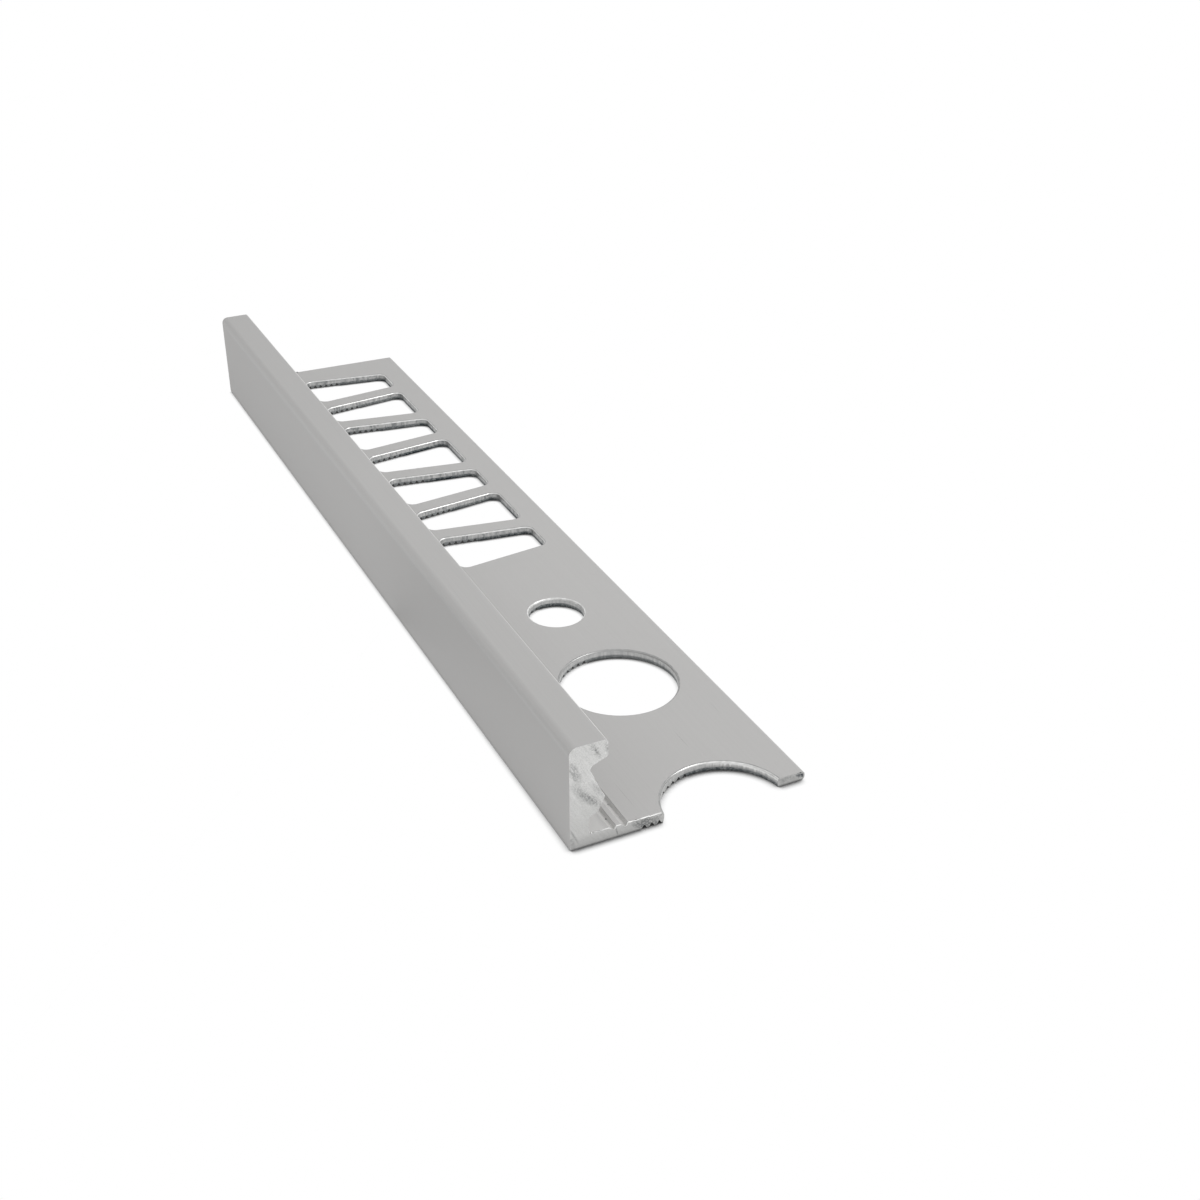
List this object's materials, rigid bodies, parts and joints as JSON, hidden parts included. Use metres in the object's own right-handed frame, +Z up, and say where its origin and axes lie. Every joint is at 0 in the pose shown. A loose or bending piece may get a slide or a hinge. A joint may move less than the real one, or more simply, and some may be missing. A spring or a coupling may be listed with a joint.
{
  "type": "tile edge trim",
  "caption": "Straight-edge tile trim: a satin aluminium angle with a square nose, an undercut wall and a punched leg, shown as a short sawn sample.",
  "frame": {"origin": "centre of the underside: half way along the trim and half way across the leg, at the floor", "axes": "+X from the wall to the leg's free edge, +Y along the trim away from the end with the halved hole, +Z up from the leg to the nose"},
  "size_m": [0.022, 0.1044, 0.01],
  "materials": {
    "aluminium": "satin"
  },
  "bodies": {
    "root": {"trim_profile": "aluminium"}
  },
  "joints": []
}
